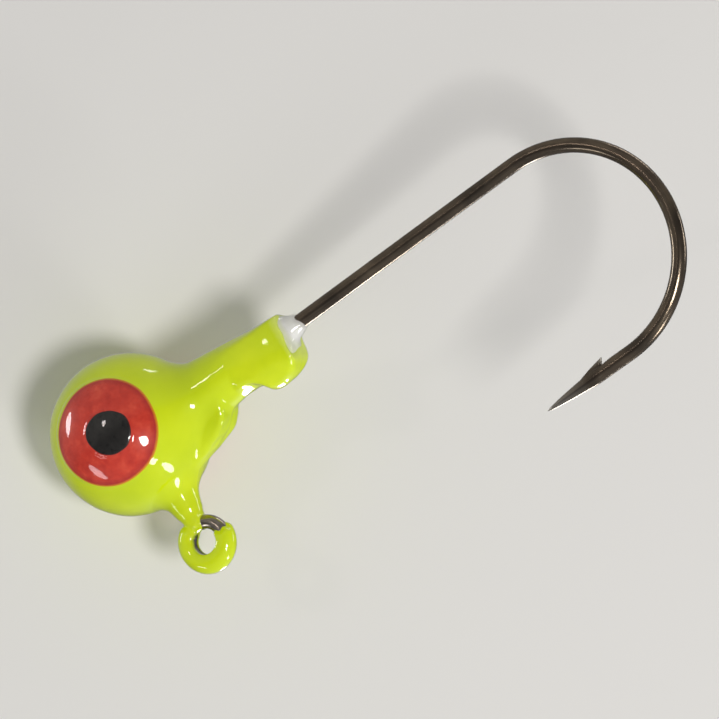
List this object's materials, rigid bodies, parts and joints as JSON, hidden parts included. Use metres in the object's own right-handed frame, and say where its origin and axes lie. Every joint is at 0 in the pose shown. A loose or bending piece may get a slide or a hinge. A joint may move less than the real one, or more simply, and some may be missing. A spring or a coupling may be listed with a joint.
{
  "type": "jig head",
  "caption": "Ball-head fishing jig: a painted lead ball with painted eyes, a collar and keeper barb, cast round a right-angle hook with a line eye.",
  "frame": {"origin": "centre of the line eye's hole, in the hook's plane", "axes": "+X towards the nose of the ball and -X towards the hook's bend, along the shank; +Z from the shank towards the line eye and the hook's point; +Y across the head along the line eye's axis"},
  "size_m": [0.0343, 0.0084, 0.016],
  "materials": {
    "hook_steel": "dark bronze-black nickel plated steel wire, polished",
    "lead": "dull grey cast lead, hidden under the coats",
    "white_primer": "white base coat, satin",
    "chartreuse_paint": "chartreuse enamel, gloss",
    "red_paint": "red enamel dot, gloss",
    "black_paint": "black enamel dot, gloss",
    "clear_lacquer": "clear gloss lacquer film, 0.05 mm"
  },
  "bodies": {
    "root": {"hook": "hook_steel", "head_casting": "lead", "base_coat": "white_primer", "colour_coat": "chartreuse_paint", "iris_left": "red_paint", "iris_right": "red_paint", "pupil_left": "black_paint", "pupil_right": "black_paint", "clear_coat": "clear_lacquer"}
  },
  "joints": []
}
